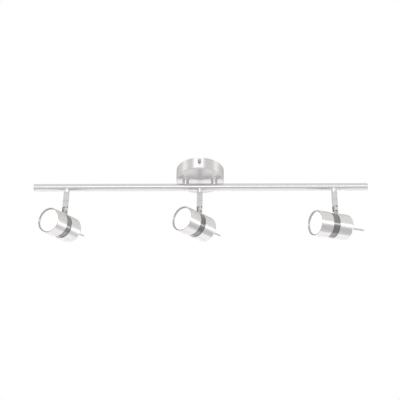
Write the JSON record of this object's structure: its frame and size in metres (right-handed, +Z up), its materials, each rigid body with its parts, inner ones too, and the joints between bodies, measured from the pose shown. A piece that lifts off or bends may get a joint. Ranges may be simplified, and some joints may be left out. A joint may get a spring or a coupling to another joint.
{
  "type": "ceiling bar spotlight",
  "caption": "Ceiling bar spotlight: a round canopy on a straight round bar, with cylindrical spot heads that swivel and tilt on slim stems, in satin nickel with chrome waists.",
  "frame": {"origin": "centre of the ceiling face, on the mounting strap", "axes": "+Z up into the ceiling, +X along the bar; -Y is the side from which the lamps are seen"},
  "size_m": [0.84, 0.1435, 0.2056],
  "materials": {
    "satin_nickel": "satin brushed nickel plate",
    "satin_nickel_bar": "satin nickel plate, brushed along the bar",
    "satin_nickel_shell": "satin nickel plate, brushed round the head",
    "polished_nickel": "bright nickel plate",
    "chrome_plate": "polished chrome plate",
    "zinc_plate": "zinc-plated steel",
    "earth_green": "green earth screw",
    "terminal_plastic": "white polyamide",
    "lead_insulation": "silicone lead insulation",
    "frosted_glass": "frosted white glass",
    "lamp_body": "white lamp body",
    "holder_ceramic": "unglazed steatite"
  },
  "bodies": {
    "root": {"mounting_strap": "zinc_plate", "ground_screw": "earth_green", "canopy": "satin_nickel", "side_screws": "satin_nickel", "terminal_block": "terminal_plastic", "post_left": "satin_nickel", "post_right": "satin_nickel", "post_nipples": "zinc_plate", "post_nuts": "zinc_plate", "bar_tube": "satin_nickel_bar", "end_plugs": "satin_nickel_bar", "saddle_nuts": "zinc_plate", "bar_leads": "lead_insulation", "swivel_necks": "polished_nickel", "swivel_washers": "zinc_plate"},
    "left_stem": {"left_swivel_sleeve": "satin_nickel", "left_swivel_fork": "satin_nickel", "left_pivot_screw": "polished_nickel"},
    "left_head": {"left_arm": "polished_nickel", "left_rear_cup": "satin_nickel_shell", "left_waist_sleeve": "chrome_plate", "left_front_shell": "satin_nickel_shell", "left_bezel_ring": "satin_nickel", "left_lens": "frosted_glass", "left_lamp": "lamp_body", "left_lamp_holder": "holder_ceramic", "left_holder_bracket": "zinc_plate", "left_bracket_screws": "zinc_plate", "left_aiming_rod": "polished_nickel", "left_head_leads": "lead_insulation"},
    "centre_stem": {"centre_swivel_sleeve": "satin_nickel", "centre_swivel_fork": "satin_nickel", "centre_pivot_screw": "polished_nickel"},
    "centre_head": {"centre_arm": "polished_nickel", "centre_rear_cup": "satin_nickel_shell", "centre_waist_sleeve": "chrome_plate", "centre_front_shell": "satin_nickel_shell", "centre_bezel_ring": "satin_nickel", "centre_lens": "frosted_glass", "centre_lamp": "lamp_body", "centre_lamp_holder": "holder_ceramic", "centre_holder_bracket": "zinc_plate", "centre_bracket_screws": "zinc_plate", "centre_aiming_rod": "polished_nickel", "centre_head_leads": "lead_insulation"},
    "right_stem": {"right_swivel_sleeve": "satin_nickel", "right_swivel_fork": "satin_nickel", "right_pivot_screw": "polished_nickel"},
    "right_head": {"right_arm": "polished_nickel", "right_rear_cup": "satin_nickel_shell", "right_waist_sleeve": "chrome_plate", "right_front_shell": "satin_nickel_shell", "right_bezel_ring": "satin_nickel", "right_lens": "frosted_glass", "right_lamp": "lamp_body", "right_lamp_holder": "holder_ceramic", "right_holder_bracket": "zinc_plate", "right_bracket_screws": "zinc_plate", "right_aiming_rod": "polished_nickel", "right_head_leads": "lead_insulation"}
  },
  "joints": [
    {"name": "left_swivel", "type": "hinge", "parent": "root", "child": "left_stem", "pos_m": [-0.336, 0, -0.11], "axis": [0, 0, 1], "range_deg": [-146.5, 203.5]},
    {"name": "left_tilt", "type": "hinge", "parent": "left_stem", "child": "left_head", "pos_m": [-0.336, 0, -0.11], "axis": [0.8788, -0.4772, 0], "range_deg": [-55.5, 79.5]},
    {"name": "centre_swivel", "type": "hinge", "parent": "root", "child": "centre_stem", "pos_m": [0, 0, -0.11], "axis": [0, 0, 1], "range_deg": [-136, 214]},
    {"name": "centre_tilt", "type": "hinge", "parent": "centre_stem", "child": "centre_head", "pos_m": [0, 0, -0.11], "axis": [0.7771, -0.6293, 0], "range_deg": [-51, 84]},
    {"name": "right_swivel", "type": "hinge", "parent": "root", "child": "right_stem", "pos_m": [0.336, 0, -0.11], "axis": [0, 0, 1], "range_deg": [-114, 236]},
    {"name": "right_tilt", "type": "hinge", "parent": "right_stem", "child": "right_head", "pos_m": [0.336, 0, -0.11], "axis": [0.4848, -0.8746, 0], "range_deg": [-52.5, 82.5]}
  ]
}
